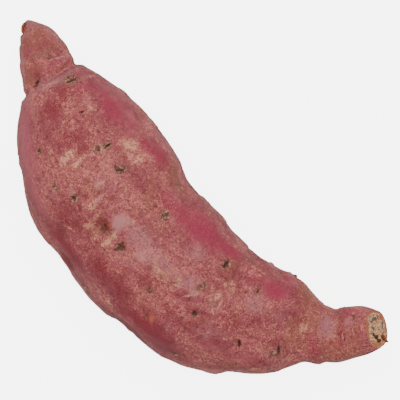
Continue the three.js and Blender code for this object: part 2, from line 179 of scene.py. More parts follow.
# Colour patches with soft torn edges: along, around, length along the root, width round it,
# turn, strength
patches = {
    "film": [  # dusty mauve bloom
        (24.6, 108, 2.6, 18, 0, 0.6), (28, 146, 8, 9, 0, 0.6), (26.4, 92, 4.5, 40, 6, 0.9),
        (8, 34, 14, 6, 0, 0.8), (2, 40, 8, 8, 0, 0.7), (14, 152, 18, 5, 0, 0.8),
        (4, 100, 6, 12, 0, 0.6), (19, 40, 6, 8, 0, 0.7), (64, 128, 16, 9, 0, 0.45),
        (68, 92, 8, 9, 0, 0.45), (74, 84, 8, 6, 0, 0.5), (87, 95, 8, 7, 0, 0.9), (91, 86, 5, 5, 0, 0.5),
        (97, 89, 13, 9, 0, 0.95), (107, 92, 15, 9, 0, 0.95), (103, 105, 6, 4, 0, 0.6),
        (102, 147, 6, 5, 0, 0.7), (118, 66, 12, 8, 0, 0.8), (111, 73, 8, 5, 0, 0.4),
        (124, 86, 9, 5, 20, 0.95), (114, 92, 9, 7, 0, 0.9), (119, 91, 6, 6, 0, 0.8),
        (126, 125, 6, 4, 0, 0.6), (139, 111, 14, 7, 0, 0.5), (132, 96, 6, 5, 0, 0.4),
        (151.5, 74, 12, 9, 0, 0.85), (163, 82, 9, 8, 0, 0.5), (160, 122, 5, 6, 0, 0.4),
        (182, 77, 7, 11, 0, 1.1), (181, 96, 5, 6, 0, 0.6), (192.5, 62, 7, 6, 0, 0.85),
        (196.5, 66, 4, 5, 0, 0.7), (60, 230, 24, 14, 0, 0.6), (96, 250, 28, 16, 0, 0.6),
        (130, 300, 24, 14, 0, 0.6), (80, 300, 20, 12, 0, 0.6), (150, 220, 16, 10, 0, 0.5),
        (110, 340, 16, 9, 0, 0.3)],
    "pink": [  # smooth and rosy
        (45, 149, 36, 13, 0, 0.9), (64, 143, 18, 9, 0, 0.8), (35, 132, 12, 9, 0, 0.5),
        (44, 41, 22, 15, 0, 0.4), (54, 138, 14, 9, 0, 0.7), (52, 38, 8, 6, 0, 0.8),
        (56, 50, 8, 6, 0, 0.3), (33, 36, 10, 8, 0, 0.3), (75, 60, 6, 6, 0, 0.3),
        (20, 60, 5, 12, 0, 0.5), (95, 152, 16, 5, 0, 0.35), (160, 58, 14, 9, 0, 0.5),
        (152, 130, 18, 9, 0, 0.5), (140, 127, 16, 8, 0, 0.45), (166, 30, 8, 9, 0, 0.6),
        (130, 96, 10, 8, 0, 0.4), (45, 200, 30, 14, 0, 0.6), (120, 250, 20, 14, 0, 0.5),
        (75, 345, 40, 12, 0, 0.5)],
    "tan": [  # beige scurf
        (26.3, 104, 2.6, 7, 0, 1), (28.6, 90, 1.6, 9, 0, 0.6), (30.5, 40, 1.5, 7, 0, 1),
        (42.8, 69, 3.4, 8, 0, 0.7), (38.6, 65, 1.2, 5, 0, 0.7), (36.4, 44, 1.6, 3, 0, 0.6),
        (56, 104, 4, 9, 16, 1.25), (52, 116, 3, 4, 0, 0.6), (60, 96, 1.6, 10, 10, 1.2),
        (60, 82, 1.2, 9, 0, 0.7), (63.5, 56, 9, 7, 0, 1), (66, 63, 6, 5, 0, 0.8),
        (70.4, 59, 3.6, 8, 0, 1), (76, 99, 2.2, 10, 0, 0.9), (77.6, 104, 2.4, 6, 0, 0.8),
        (71, 92, 4, 4, 0, 0.6), (82.5, 117, 6, 6, 0, 1), (86.5, 117, 5, 5, 0, 1),
        (90.5, 110, 4, 10, 0, 1.1), (81, 107, 2, 7, 10, 0.9), (79, 131, 6, 1.5, 35, 0.8),
        (81.5, 127, 5, 1.3, 35, 0.8), (92.6, 119, 4, 4, 0, 0.8), (101.4, 116, 4, 3, 0, 0.7),
        (106.6, 146, 3.2, 5, 0, 0.8), (111, 94, 9, 4, 0, 0.9), (106, 84, 5, 5, 0, 0.5),
        (119, 93, 9, 2.4, 25, 1.1), (114, 98, 8, 1.8, 25, 0.9), (127.8, 90, 4, 1.4, -40, 1),
        (136.2, 83, 2, 7, 0, 1), (133, 80, 3, 2, 0, 0.7), (98, 70, 8, 8, 0, 0.5),
        (94, 60, 3, 5, 0, 0.6), (90, 84, 3, 3, 0, 0.6), (138, 70, 9, 9, 0, 0.8),
        (148, 64, 3, 4, 0, 0.7), (145, 115, 2, 1.6, 0, 0.9), (164, 66, 5, 5, 0, 0.5),
        (173, 84, 4.5, 7, 0, 1), (170, 66, 4, 5, 0, 0.45), (158, 146, 6, 5, 0, 0.6),
        (184.6, 88, 2, 6, 0, 0.6), (196.5, 84, 1, 8, 0, 0.5), (70, 215, 9, 7, 0, 0.8),
        (112, 230, 10, 8, 0, 0.7), (94, 310, 8, 6, 0, 0.7), (138, 320, 9, 5, 0, 0.6)],
    "crimson": [  # clean deep red
        (37, 104, 12, 11, 0, 1), (33, 80, 7, 14, 0, 1), (198, 84, 5, 12, 0, 0.8),
        (187, 94, 3.4, 14, 0, 1), (178, 122, 4, 9, 0, 0.8), (124, 133, 16, 8, 0, 0.8),
        (156, 90, 10, 7, 0, 0.7), (44, 92, 12, 12, 0, 0.6), (51, 96, 9, 14, 0, 1),
        (56, 88, 6, 10, 0, 0.9), (47, 78, 9, 8, 0, 0.5), (76, 38, 12, 6, 0, 0.7),
        (75, 128, 20, 9, 0, 0.7), (72, 118, 6, 5, 0, 0.5), (84, 146, 22, 9, 0, 0.9),
        (97, 129, 12, 9, 0, 1), (107, 128, 13, 11, 0, 0.9), (103, 113, 5, 5, 0, 0.6),
        (112, 104, 12, 3.6, 22, 1), (121, 101, 11, 3.4, 22, 0.8), (124, 112, 9, 8, 0, 0.6),
        (122, 140, 24, 8, 0, 1.1), (131, 150, 20, 8, 0, 1), (133, 113, 4, 4, 0, 0.9),
        (145, 97, 12, 6, 0, 0.7), (153, 98, 8, 7, 0, 0.6), (163, 112, 6, 6, 0, 0.6),
        (157, 92, 9, 6, 0, 0.6), (190.5, 97, 5, 7, 0, 0.6), (188.5, 76, 3, 6, 0, 0.7),
        (95.5, 104, 5, 5, 0, 0.7), (66, 152, 30, 6, 0, 0.4), (170, 128, 6, 6, 0, 0.5),
        (92, 270, 26, 12, 0, 0.7), (132, 240, 20, 10, 0, 0.8), (48, 265, 20, 12, 0, 0.6),
        (112, 330, 22, 9, 0, 0.6)],
    "magenta": [  # bright pink where the skin is youngest
        (33.5, 60, 5, 10, 0, 0.8), (28, 50, 4, 10, 0, 0.5), (20, 66, 3, 8, 0, 0.8),
        (46, 50, 14, 10, 0, 0.9), (40, 46, 22, 8, 0, 0.7), (56, 40, 12, 5, 0, 0.5),
        (67, 46, 9, 5, 0, 1.2), (74, 44, 8, 6, 0, 0.8), (63, 47, 5, 2.6, 0, 0.6),
        (72.5, 38, 8, 5, 0, 0.6), (93, 52, 12, 7, 0, 1.1), (101, 50, 14, 9, 0, 1.2),
        (112, 46, 16, 12, 0, 1.1), (121, 44, 12, 11, 0, 1.1), (129, 42, 12, 9, 0, 1),
        (122, 54, 9, 2.2, 8, 0.7), (136, 36, 8, 3, 0, 0.5), (146.5, 46, 11, 6, 0, 1),
        (158, 53, 12, 9, 0, 1.1), (163, 26, 7, 6, 0, 0.7), (151, 34, 8, 3, 0, 0.5),
        (177.4, 128, 2.6, 9, 0, 1.1), (178, 110, 2, 6, 0, 0.8), (194.5, 36, 9, 6, 0, 1.1),
        (192, 46, 5, 4, 0, 0.6), (88, 350, 34, 8, 0, 0.5), (140, 340, 24, 7, 0, 0.5),
        (70, 250, 14, 6, 0, 0.6)],
    "russet": [  # orange-brown, older cork
        (5, 90, 13, 60, 0, 0.8), (71, 98, 7, 8, 0, 0.8), (88, 66, 9, 8, 0, 0.8), (60, 99, 6, 8, 0, 0.6),
        (198, 84, 6, 12, 0, 0.6), (98, 78, 8, 5, 0, 0.6), (13, 98, 8, 26, 0, 0.5),
        (12, 62, 6, 10, 0, 0.6), (22.5, 142, 7, 11, 0, 1), (18, 128, 8, 10, 0, 0.7),
        (20, 112, 4, 8, 0, 0.5), (86, 31, 15, 8, 0, 1), (79, 28, 9, 5, 0, 0.6), (91, 56, 8, 8, 0, 0.5),
        (82, 60, 10, 8, 0, 0.5), (133, 53, 10, 6, 0, 0.6), (134, 63, 8, 5, 0, 0.6),
        (140, 72, 10, 8, 0, 0.4), (151, 148, 24, 6, 0, 0.7), (159, 151, 10, 6, 0, 0.8),
        (118, 161, 20, 4, 0, 0.5), (172, 40, 11, 14, 0, 0.9), (176, 64, 9, 13, 0, 1),
        (170, 98, 8, 12, 0, 1), (174.5, 112, 5, 10, 0, 0.6), (183, 112, 8, 10, 0, 0.7),
        (185, 60, 5, 10, 0, 0.7), (186, 88, 4, 12, 0, 0.6), (193, 130, 14, 9, 0, 0.9),
        (185, 142, 16, 9, 0, 0.8), (195, 106, 7, 8, 0, 0.6), (6, 270, 24, 60, 0, 0.8),
        (182, 270, 24, 60, 0, 0.7)],
    "soilAndSideShade": [  # smudges of dried soil, and painted shade low on the sides and in a fold near the tail
        (14.4, 82, 2.6, 9, 10, 0.7), (14.4, 117, 3, 3, 0, 0.7), (28.9, 76, 1.6, 10, 0, 0.7),
        (56, 15, 22, 4, 0, 0.9), (64, 13, 12, 4, 0, 0.8), (58.6, 80, 2.6, 3.4, 0, 0.9),
        (109, 22, 8, 3.6, 0, 0.9), (137.5, 26, 9, 4, 0, 1), (142.5, 30, 7, 4, 0, 0.9),
        (159, 20, 3, 2.6, 0, 1), (64, 165, 6, 3, 0, 0.9), (86, 163, 10, 2.2, 0, 1),
        (99, 161, 8, 4, 0, 0.5), (135, 154, 8, 3, 0, 0.5), (117.5, 72, 3, 3, 0, 0.5),
        (128, 86, 2.4, 5, -40, 0.8), (95.6, 58, 4, 4, 0, 0.5), (150, 63, 3, 2, 0, 0.5),
        (40, 172, 20, 3, 0, 0.4), (80, 205, 20, 6, 0, 0.5), (120, 215, 24, 6, 0, 0.5),
        (105, 350, 24, 4, 0, 0.5)],
    "clean": [  # hardly any scurf
        (45, 149, 34, 13, 0, 1.1), (65, 145, 16, 8, 0, 0.7), (44, 40, 26, 15, 0, 1),
        (112, 46, 46, 13, 0, 1), (52, 48, 22, 12, 0, 0.9), (71, 40, 18, 8, 0, 0.9),
        (124, 144, 28, 12, 0, 0.9), (84, 150, 24, 8, 0, 0.8), (158, 50, 18, 10, 0, 0.9),
        (164, 28, 12, 8, 0, 0.7), (21, 132, 8, 14, 0, 0.7), (141, 124, 16, 9, 0, 0.5),
        (88, 95, 6, 6, 0, 0.8), (122, 87, 8, 4, 0, 0.5), (181, 75, 6, 8, 0, 0.5),
        (9, 90, 18, 40, 0, 0.5)],
}

# Small marks with crisp edges, laid the same way
spots = {
    "pale": [  # flaked lips and chips
        (59.8, 101, 0.9, 5, 0, 0.9), (23.4, 60, 0.8, 10, 8, 0.4), (26.9, 96, 0.8, 6, -6, 0.6),
        (18.6, 52, 0.8, 7, -10, 0.5), (30.4, 41, 0.7, 5, 0, 0.8), (127, 94, 0.8, 6, -48, 0.9),
        (138.1, 88, 0.8, 5, 0, 0.9), (136.9, 95.5, 0.8, 3, 40, 0.8), (133.2, 86, 0.8, 3, -30, 0.7),
        (120.5, 94.5, 5, 0.8, 20, 0.9), (115, 99.5, 5, 0.7, 24, 0.7), (197, 80, 0.7, 6, 0, 0.6),
        (188.8, 96, 0.5, 3.6, 0, 0.9), (145, 115, 1.8, 1.1, 0, 0.8), (90.2, 104, 1, 4, 20, 0.8),
        (79.8, 131, 4, 0.7, 35, 0.8)],
    "rust": [  # raw orange skin beside an eye
        (85.6, 104, 2.4, 1.8, 0, 1), (86.6, 86, 3.6, 0.9, -50, 1), (89.3, 80.6, 1, 1.8, 0, 1),
        (86.2, 88.5, 1, 1.4, 0, 0.8), (119.6, 127, 1.4, 2.6, 0, 1), (121.2, 125.6, 1, 1.6, 0, 0.8),
        (60, 104.5, 1, 2.4, 0, 0.8), (101.6, 115, 1.6, 1.4, 0, 0.9), (134, 108, 6, 1.6, 62, 0.35),
        (186, 104, 1.4, 1, 0, 0.7)],
    "brown": [  # bruised or scabbed
        (82.6, 111.5, 2.6, 1.7, 0, 0.9), (135.2, 91, 5, 4.6, 0, 0.6), (127.4, 86.5, 1.8, 5, -42, 0.7),
        (134.6, 109, 5, 2, 62, 0.6), (119.3, 132.6, 1.8, 2.4, 0, 0.9), (90, 78.6, 2, 1.4, 0, 0.8),
        (71.2, 67, 2, 3, 0, 0.7), (184.6, 112, 2, 2.4, 0, 0.6), (85, 163.5, 9, 1, 0, 0.7),
        (58.7, 79.6, 1.8, 2.6, 0, 0.7), (29, 72, 1, 8, 0, 0.5)],
    "hole": [  # dark pits and slits
        (24.1, 125, 1.1, 5, 28, 1), (28.7, 67, 1.1, 5, 0, 0.8), (42.1, 77, 1, 2.6, 0, 1),
        (59, 71, 1.2, 2.8, 0, 1), (131.4, 56, 1.3, 3.6, 0, 0.9), (150.9, 118, 1.1, 3.6, 14, 1),
        (150.9, 59, 1.2, 2.6, -18, 0.8), (165.2, 122, 1, 4.6, 12, 0.9), (70.1, 73, 1, 3.4, -36, 0.8),
        (85.6, 110.6, 1.6, 1.6, 0, 0.75), (95.4, 109.4, 1.2, 1.4, 0, 0.9),
        (96.4, 103.6, 1.3, 1.6, 0, 0.9), (94.8, 101.6, 1, 1, 0, 0.7), (92.6, 117.4, 1.1, 0.8, 0, 1),
        (95.2, 63.5, 0.9, 1.4, 0, 0.8), (97.4, 62, 1, 1, 0, 0.8), (132, 105, 2.2, 1.7, 0, 1),
        (133.2, 101.6, 0.9, 1, 0, 0.8), (164.6, 126.4, 1, 2, 0, 0.7), (189.8, 101.4, 0.8, 2.6, 0, 0.9),
        (188, 92, 0.6, 3, 0, 0.7), (166.2, 9, 1.2, 1.4, 0, 0.8)],
}

# How far the edges of the patches wander, and on what scale
tornEdges = {"reach": 1.6, "size": 4.5}

# The broken end: height of its crumbs, depth of its dish, where its darker rim starts and is full
scarForm = {"crumbs": 0.45, "dish": 0.9, "rim": (0.76, 0.95)}

# Marks on the broken end: height towards the bend, height up its slope, size, size, strength
scarMarks = {
    "corkRim": [(5, -3.6, 3.4, 2.6, 0.9), (1, -5.6, 6, 1.6, 0.9), (-5.6, 1, 2, 7, 0.9),
                (1, 4.9, 12, 2.6, 1)],
    "corkStain": [(4.6, 0.3, 1.8, 2.6, 1), (3.6, 1.6, 1.4, 1.8, 0.9), (1.1, 0.9, 1.6, 1.8, 1),
                  (1.4, -3.9, 6, 0.9, 0.8), (5.4, -1.6, 1.2, 2, 0.7), (-1.2, 2.6, 1.4, 1.2, 0.6)],
    "corkDark": [(-1.6, 1.3, 1.8, 1.6, 1), (-2.8, 0, 2, 2.2, 1), (-4.2, -0.9, 1.6, 2.8, 1),
                 (-3.6, -3.4, 1.2, 2, 0.7), (4.4, -0.6, 0.9, 1, 0.8), (0.2, -1.8, 0.8, 0.9, 0.7),
                 (3.9, 2.6, 0.9, 1.2, 0.6)],
}


def sizesAt(along):
    # Half sizes of the section, on a smooth curve through those given
    table = np.array(rootForm["sections"], float)
    last = len(table) - 2
    i = min(last, max(0, int(np.searchsorted(table[:, 0], along)) - 1))
    before, start, end, after = table[max(0, i - 1)], table[i], table[i + 1], table[min(last + 1, i + 2)]
    span = end[0] - start[0]
    share = min(1, max(0, (along - start[0]) / span))
    slopeIn = (end - before) / (end[0] - before[0]) * span
    slopeOut = (after - start) / (after[0] - start[0]) * span
    curve = (2 * share ** 3 - 3 * share ** 2 + 1) * start
    curve += (share ** 3 - 2 * share ** 2 + share) * slopeIn
    curve += (3 * share ** 2 - 2 * share ** 3) * end + (share ** 3 - share ** 2) * slopeOut
    toTip = 1 - min(1, along / rootForm["tailRounding"])
    return curve[1:] * math.sqrt(max(0.0, 1 - toTip * toTip))


def surfaceAt(along, degrees, turn=0):
    # A point of the straight root, and the turn that lays a mark on its skin there
    inner, outer, above, below = sizesAt(along)
    t = math.radians(degrees)
    y = math.cos(t) * (inner if math.cos(t) > 0 else outer)
    midY, wide = (inner - outer) / 2, (inner + outer) / 2
    midZ, high = (above - below) / 2, (above + below) / 2
    rise = high * math.sqrt(max(0, 1 - ((y - midY) / wide) ** 2)) * (1 if math.sin(t) >= 0 else -1)
    out = Vector((0, (y - midY) / wide ** 2, rise / high ** 2)).normalized()
    down = Vector((1, 0, 0))
    across = down.cross(out)
    c, s = math.cos(math.radians(turn)), math.sin(math.radians(turn))
    lie = Matrix((down * c - across * s, -across * c - down * s, out)).transposed()
    return Vector((along, y, midZ + rise)), lie.to_euler("XYZ")


def drawMiddleLine():
    # The bend as seen from above, with how far down it and how high each length of the root comes
    curve = bpy.data.curves.new("middleLine", "CURVE")
    curve.dimensions = "3D"
    curve.twist_mode = "Z_UP"
    curve.resolution_u = 24
    line = curve.splines.new("BEZIER")
    points = line.bezier_points
    points.add(len(rootForm["middleLine"]) - 1)
    for point, place in zip(points, rootForm["middleLine"]):
        point.co = place
        point.handle_left_type = "AUTO"
        point.handle_right_type = "AUTO"
    middle = bpy.data.objects.new("middleLine", curve)
    bpy.context.collection.objects.link(middle)
    bpy.context.view_layer.update()
    places = []
    for start, end in zip(points[:-1], points[1:]):
        places += geometry.interpolate_bezier(start.co, start.handle_right, end.handle_left, end.co, 25)
    places = np.array(places)
    steps = np.diff(places, axis=0, prepend=places[:1])
    track = {"length": np.cumsum(np.linalg.norm(steps, axis=1)),
             "fromAbove": np.cumsum(np.linalg.norm(steps[:, :2], axis=1)), "height": places[:, 2]}
    for point in points:  # laid flat, so that the rings of the root stay upright
        point.handle_left_type = point.handle_right_type = "FREE"
        point.handle_left.z = point.handle_right.z = point.co.z = 0
    return middle, track


def growStraightRoot(length):
    # The root is grown ring by ring down the X axis, as if it hadn't bent
    sides = rootForm["sides"]
    fuller = 6 / (4 + 2 * math.cos(2 * math.pi / sides))  # makes up for what smoothing takes off
    count = round((length - rootForm["tailRounding"]) / rootForm["ringStep"])
    even = np.linspace(rootForm["tailRounding"] + 0.4, length, count)
    stations = rootForm["tailRings"] + list(even)
    deselectAll()
    bpy.ops.mesh.primitive_circle_add(vertices=sides, radius=1, fill_type="NGON",
                                      rotation=(0, math.radians(90), 0))
    root = bpy.context.object
    root.name = "sweet_potato_skin"
    bpy.ops.object.transform_apply(location=True, rotation=True, scale=True)
    bpy.ops.object.mode_set(mode="EDIT")
    bpy.ops.mesh.select_all(action="SELECT")
    x, y, z, wide, high = 0, 0, 0, 1, 1
    for n, along in enumerate(stations):
        inner, outer, above, below = sizesAt(along) * fuller
        step = (along - x, (inner - outer) / 2 - y, (above - below) / 2 - z)
        if n == 0:
            bpy.ops.transform.translate(value=step)
        else:
            bpy.ops.mesh.extrude_region_move(TRANSFORM_OT_translate={"value": step})
        x, y, z = along, (inner - outer) / 2, (above - below) / 2
        grow = (1, (inner + outer) / 2 / wide, (above + below) / 2 / high)
        bpy.ops.transform.resize(value=grow, center_override=(x, y, z))
        wide, high = (inner + outer) / 2, (above + below) / 2
    bpy.ops.transform.edge_crease(value=rootForm["scarCrease"])
    for _ in range(3):
        bpy.ops.mesh.inset(thickness=rootForm["scarInset"])
    bpy.ops.mesh.select_all(action="SELECT")
    bpy.ops.mesh.normals_make_consistent(inside=False)
    bpy.ops.object.mode_set(mode="OBJECT")
    smooth = root.modifiers.new("smooth", "SUBSURF")
    smooth.levels = smooth.render_levels = rootForm["smoothing"]
    bpy.ops.object.modifier_apply(modifier="smooth")
    bpy.ops.object.shade_smooth()
    return root


def bell(distance, width):
    return np.exp(-(distance / width) ** 2)


def between(value, low, high):
    share = np.clip((value - low) / (high - low), 0, 1)
    return share * share * (3 - 2 * share)


def measurePoints(mesh, length):
    # Where each point of the straight root is: along it, around it and how far from its axis
    place = np.empty(len(mesh.vertices) * 3)
    facing = np.empty(len(mesh.vertices) * 3)
    mesh.vertices.foreach_get("co", place)
    mesh.vertices.foreach_get("normal", facing)
    place = place.reshape(-1, 3)
    facing = facing.reshape(-1, 3)
    along = place[:, 0]
    table = np.array([sizesAt(a) for a in np.arange(0, length + 1, 0.5)])
    half = np.where(place[:, 1] > 0, np.interp(along * 2, range(len(table)), table[:, 0]),
                    np.interp(along * 2, range(len(table)), table[:, 1]))
    share = np.clip(place[:, 1] / np.maximum(half, 0.1), -1, 1)
    return {"place": place, "facing": facing, "along": along, "points": [Vector(p) for p in place],
            "around": np.arccos(share) * np.where(place[:, 2] < 0, -1, 1),
            "radius": np.hypot(place[:, 1], place[:, 2]),
            "scar": between(facing[:, 0], 0.8, 0.97) * (along > length - 3)}


def near(where, a, degrees):
    # How far each point is from a place on the skin, down the root and round it
    gap = where["around"] - math.radians(degrees)
    return where["along"] - a, np.arctan2(np.sin(gap), np.cos(gap)) * where["radius"]


def turned(where, a, degrees, turn):
    # The same for a mark that lies at a turn: along the mark, and across it
    down, across = near(where, a, degrees)
    c, s = math.cos(math.radians(turn)), math.sin(math.radians(turn))
    return across * c + down * s, down * c - across * s


def grain(where, size, shift=(0, 0, 0)):
    return np.array([noise.noise(p / size + Vector(shift)) for p in where["points"]])


def raiseSwellings(where, height, length):
    # Gives back what the small ones raised, for painted shade in their hollows and a painted highlight on
    # their tops
    picker = random.Random(randomDimples["seed"])
    dimples = list(swellings)
    for _ in range(randomDimples["count"]):
        dimples.append((picker.uniform(6, length - 6), picker.uniform(0, 360),
                        picker.uniform(*randomDimples["spread"]), picker.uniform(*randomDimples["rise"])))
    small = np.zeros(len(height))
    for a, degrees, spread, rise in dimples:
        down, across = near(where, a, degrees)
        raised = rise * bell(np.hypot(down, across), spread)
        height += raised
        small += raised * (spread < 5)
    for wave, times, start, tall in waves:
        ripple = np.sin(2 * math.pi * where["along"] / wave + times * where["around"] + start)
        height += tall * ripple * np.minimum(1, where["radius"] / 25)  # less at the narrow ends
    for size, tall in lumps:
        height += 1.6 * tall * grain(where, size) * np.minimum(1, where["radius"] / 12)
    return small


def foldSkin(where, height, marks, wander, length):
    # Folds right round the root, then the thin lines that fade out on the way round
    for a, slant, width, depth in folds:
        offset = where["along"] - a + slant * np.cos(where["around"])
        height -= depth * (bell(offset, width) - 0.25 * bell(offset - 2.2 * width, width))
    picker = random.Random(randomLines["seed"])
    lines = list(skinLines)
    for _ in range(randomLines["count"]):
        lines.append((picker.uniform(3, length - 3), picker.uniform(0, 360),
                      picker.uniform(*randomLines["sweep"]), picker.uniform(-2, 2),
                      picker.uniform(*randomLines["width"]), picker.uniform(*randomLines["depth"])))
    for a, degrees, sweep, slant, width, depth in lines:
        gap = np.degrees(np.abs(near(where, a, degrees)[1]) / np.maximum(where["radius"], 0.1))
        fade = between(gap, sweep, sweep * 0.5)
        offset = where["along"] - a + slant * np.cos(where["around"]) + wander
        height += fade * depth * (bell(offset, width) - 1.2 * bell(offset - 2 * width, width))
        marks["lip"] += fade * depth * 1.7 * bell(offset, width)


def cutEyes(where, height, marks, wander):
    # Each eye is a slit in a dimple, with raised lips
    for a, degrees, long, width, depth, turn, bow, dark, halo, rust in eyes:
        u, v = turned(where, a, degrees, turn)
        v = v + bow * (2 * u / long) ** 2 - bow / 2 + 0.5 * wander
        slit = bell(v, width) * np.exp(-(2 * u / long) ** 4)
        dimple = bell(v, width + eyeForm["dimpleWider"]) * bell(u, long / 2 + eyeForm["dimpleLonger"])
        lips = bell(np.abs(v) - width - eyeForm["lipAway"], eyeForm["lipWidth"]) * bell(u, long / 2)
        height += depth * (eyeForm["lipRise"] * lips - eyeForm["dimpleDrop"] * dimple
                           - eyeForm["slitDrop"] * slit)
        marks["dark"] += dark * slit
        marks["halo"] += halo * dimple
        beside = bell(v - width - eyeForm["rustAway"], eyeForm["rustWidth"])
        marks["rustRim"] += rust * beside * bell(u, long / 2 + 0.6)
        marks["lip"] += 0.5 * lips * min(1, depth)


def layPatches(where, marks, stray):
    for name, kind in patches.items():
        marks[name] = np.zeros(len(where["along"]))
        for a, degrees, long, wide, turn, strength in kind:
            u, v = turned(where, a, degrees, turn)
            u, v = u + stray[0], v + stray[1]
            laid = strength * np.exp(-(2 * v / long) ** 2 - (2 * u / wide) ** 2)
            marks[name] = np.maximum(marks[name], laid)


def layScarMarks(where, marks, stray, rim):
    place, scar = where["place"], where["scar"]
    for name, kind in scarMarks.items():
        marks[name] = np.zeros(len(scar))
        for y, z, tall, wide, strength in kind:
            gapY = 2 * (place[:, 1] - y + stray[0] / 3) / tall
            gapZ = 2 * (place[:, 2] - z + stray[1] / 3) / wide
            laid = scar * strength * np.exp(-(gapY ** 2 + gapZ ** 2) ** 2)
            marks[name] = np.maximum(marks[name], laid)
    marks["corkRim"] = np.maximum(marks["corkRim"], scar * between(rim, *scarForm["rim"]) * 0.9)


def sculptRoot(root, track):
    # Relief is raised from the straight root, colour patches are laid, and it takes its height
    length = track["length"][-1]
    mesh = root.data
    where = measurePoints(mesh, length)
    along, place, radius, scar = where["along"], where["place"], where["radius"], where["scar"]
    height = rootForm["squareness"] * radius * np.sin(2 * where["around"]) ** 2
    small = raiseSwellings(where, height, length)
    marks = {name: np.zeros(len(along)) for name in ("dark", "halo", "rustRim", "lip")}
    # Painted shade in the small hollows and a painted highlight on the small rises, from the relief they
    # raised
    marks["hollowShade"] = np.clip(-small / 0.7, 0, 1)
    marks["ridgeHighlight"] = np.clip(small / 0.6, 0, 1)
    wander = grain(where, 7, (9, 3, 5))
    foldSkin(where, height, marks, wander, length)
    cutEyes(where, height, marks, wander)
    stray = [tornEdges["reach"] * grain(where, tornEdges["size"], (start, 7, 2)) for start in (0, 30)]
    layPatches(where, marks, stray)
    for name in marks:
        marks[name] *= 1 - scar

    # The scar: a shallow dish of broken cork
    cork = grain(where, 1.3) + 0.5 * grain(where, 0.6)
    rim = radius / max(radius[scar > 0.5].max(), 1)
    marks["scar"] = scar
    layScarMarks(where, marks, stray, rim)
    dish = scarForm["crumbs"] * cork - scarForm["dish"] * (1 - rim ** 2)
    height = height * (1 - scar) + scar * dish

    moved = place + where["facing"] * height[:, None]
    lean = math.tan(math.radians(rootForm["scarLean"])) * between(along, rootForm["scarLeanFrom"], length)
    moved[:, 0] += np.interp(along, track["length"], track["fromAbove"]) - along - moved[:, 2] * lean
    moved[:, 2] += np.interp(along, track["length"], track["height"])
    mesh.vertices.foreach_set("co", moved.ravel())
    for name, values in marks.items():
        mark = mesh.attributes.new(name, "FLOAT", "POINT")
        mark.data.foreach_set("value", values)
    straight = mesh.attributes.new("straightPlace", "FLOAT_VECTOR", "POINT")
    straight.data.foreach_set("vector", place.ravel())
    mesh.update()


def bendRoot(root, middle):
    bend = root.modifiers.new("bend", "CURVE")
    bend.object = middle
    bend.deform_axis = "POS_X"
    middle.data.use_stretch = False
    middle.data.use_deform_bounds = False
    bpy.ops.object.modifier_apply(modifier="bend")
    bpy.data.objects.remove(middle)


def pressFlat(root):
    # It has sagged a little on to the table: nothing is below it, and the edge of the flat is soft
    soft = 0.5
    for vertex in root.data.vertices:
        z = vertex.co.z
        vertex.co.z = (z + math.sqrt(z * z + soft * soft)) / 2


# Rootlets broken off short: a path of centres, and the thickness at its foot and its end

rootlets = {
    "tail_rootlet": {"path": [(0.4, 1.9, 15.4), (-0.7, 1.4, 16), (-1.3, 0.4, 16.2), (-1.2, -0.7, 16.2),
                              (-0.5, -1.6, 16), (0.7, -1.9, 15.4)],
                     "thick": 1.25, "thin": 1},
    "neck_rootlet": {"path": [(139.3, -11, 22.6), (141.5, -8.4, 23.1), (144.4, -6.1, 23.4)],
                     "thick": 1.3, "thin": 0.8},
    "scar_rootlet": {"path": [(184, -2.6, 19.5), (186.3, -2.9, 18.7), (188.3, -3.1, 18)],
                     "thick": 1.2, "thin": 0.45},
}
rootletForm = {"sides": 10, "smoothing": 2, "wrinkles": 0.12, "wrinkleSize": 0.7}


def makeRootlet(name):
    form = rootlets[name]
    path = [Vector(p) for p in form["path"]]
    deselectAll()
    heading = (path[1] - path[0]).normalized()
    bpy.ops.mesh.primitive_circle_add(vertices=rootletForm["sides"], radius=form["thick"],
                                      fill_type="NGON", location=path[0],
                                      rotation=heading.to_track_quat("Z", "Y").to_euler())
    rootlet = bpy.context.object
    rootlet.name = name
    bpy.ops.object.transform_apply(location=True, rotation=True, scale=True)
    bpy.ops.object.mode_set(mode="EDIT")
    bpy.ops.mesh.select_all(action="SELECT")
    for n in range(1, len(path)):
        bpy.ops.mesh.extrude_region_move(TRANSFORM_OT_translate={"value": path[n] - path[n - 1]})
        shrink = (form["thin"] / form["thick"]) ** (1 / (len(path) - 1))
        bpy.ops.transform.resize(value=(shrink,) * 3, center_override=path[n])
    bpy.ops.mesh.inset(thickness=form["thin"] * 0.35)
    bpy.ops.transform.translate(value=(path[-1] - path[-2]).normalized() * form["thin"] * -0.3)
    bpy.ops.mesh.select_all(action="SELECT")
    bpy.ops.mesh.normals_make_consistent(inside=False)
    bpy.ops.object.mode_set(mode="OBJECT")
    smooth = rootlet.modifiers.new("smooth", "SUBSURF")
    smooth.levels = smooth.render_levels = rootletForm["smoothing"]
    bpy.ops.object.modifier_apply(modifier="smooth")
    bpy.ops.object.shade_smooth()
    for vertex in rootlet.data.vertices:
        bump = noise.noise(vertex.co / rootletForm["wrinkleSize"])
        vertex.co += vertex.normal * rootletForm["wrinkles"] * bump
    return rootlet


# Finishes

